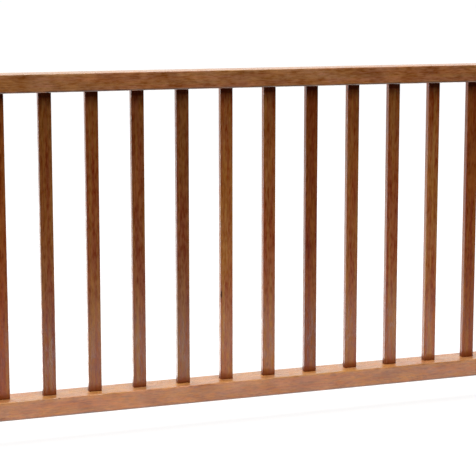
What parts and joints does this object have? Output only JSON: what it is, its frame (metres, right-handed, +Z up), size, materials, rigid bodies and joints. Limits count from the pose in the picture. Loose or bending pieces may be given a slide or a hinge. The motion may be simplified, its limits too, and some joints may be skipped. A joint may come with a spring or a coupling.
{
  "type": "slatted timber railing panel",
  "caption": "Oiled hardwood railing panel: slim upright slats let into a flat top rail and a matching bottom rail, for fixing between two posts.",
  "frame": {"origin": "centre of the bottom rail's left end face, where the panel meets its post", "axes": "+X along the panel from the left end to the right end, +Y from the front to the back, +Z up"},
  "size_m": [1.8, 0.078, 0.9],
  "materials": {
    "rail_wood": "planed reddish brown hardwood, oiled, satin",
    "slat_wood": "planed reddish brown hardwood, oiled, satin"
  },
  "bodies": {
    "root": {"bottom_rail": "rail_wood", "top_rail": "rail_wood", "slat_01": "slat_wood", "slat_02": "slat_wood", "slat_03": "slat_wood", "slat_04": "slat_wood", "slat_05": "slat_wood", "slat_06": "slat_wood", "slat_07": "slat_wood", "slat_08": "slat_wood", "slat_09": "slat_wood", "slat_10": "slat_wood", "slat_11": "slat_wood", "slat_12": "slat_wood", "slat_13": "slat_wood", "slat_14": "slat_wood"}
  },
  "joints": []
}
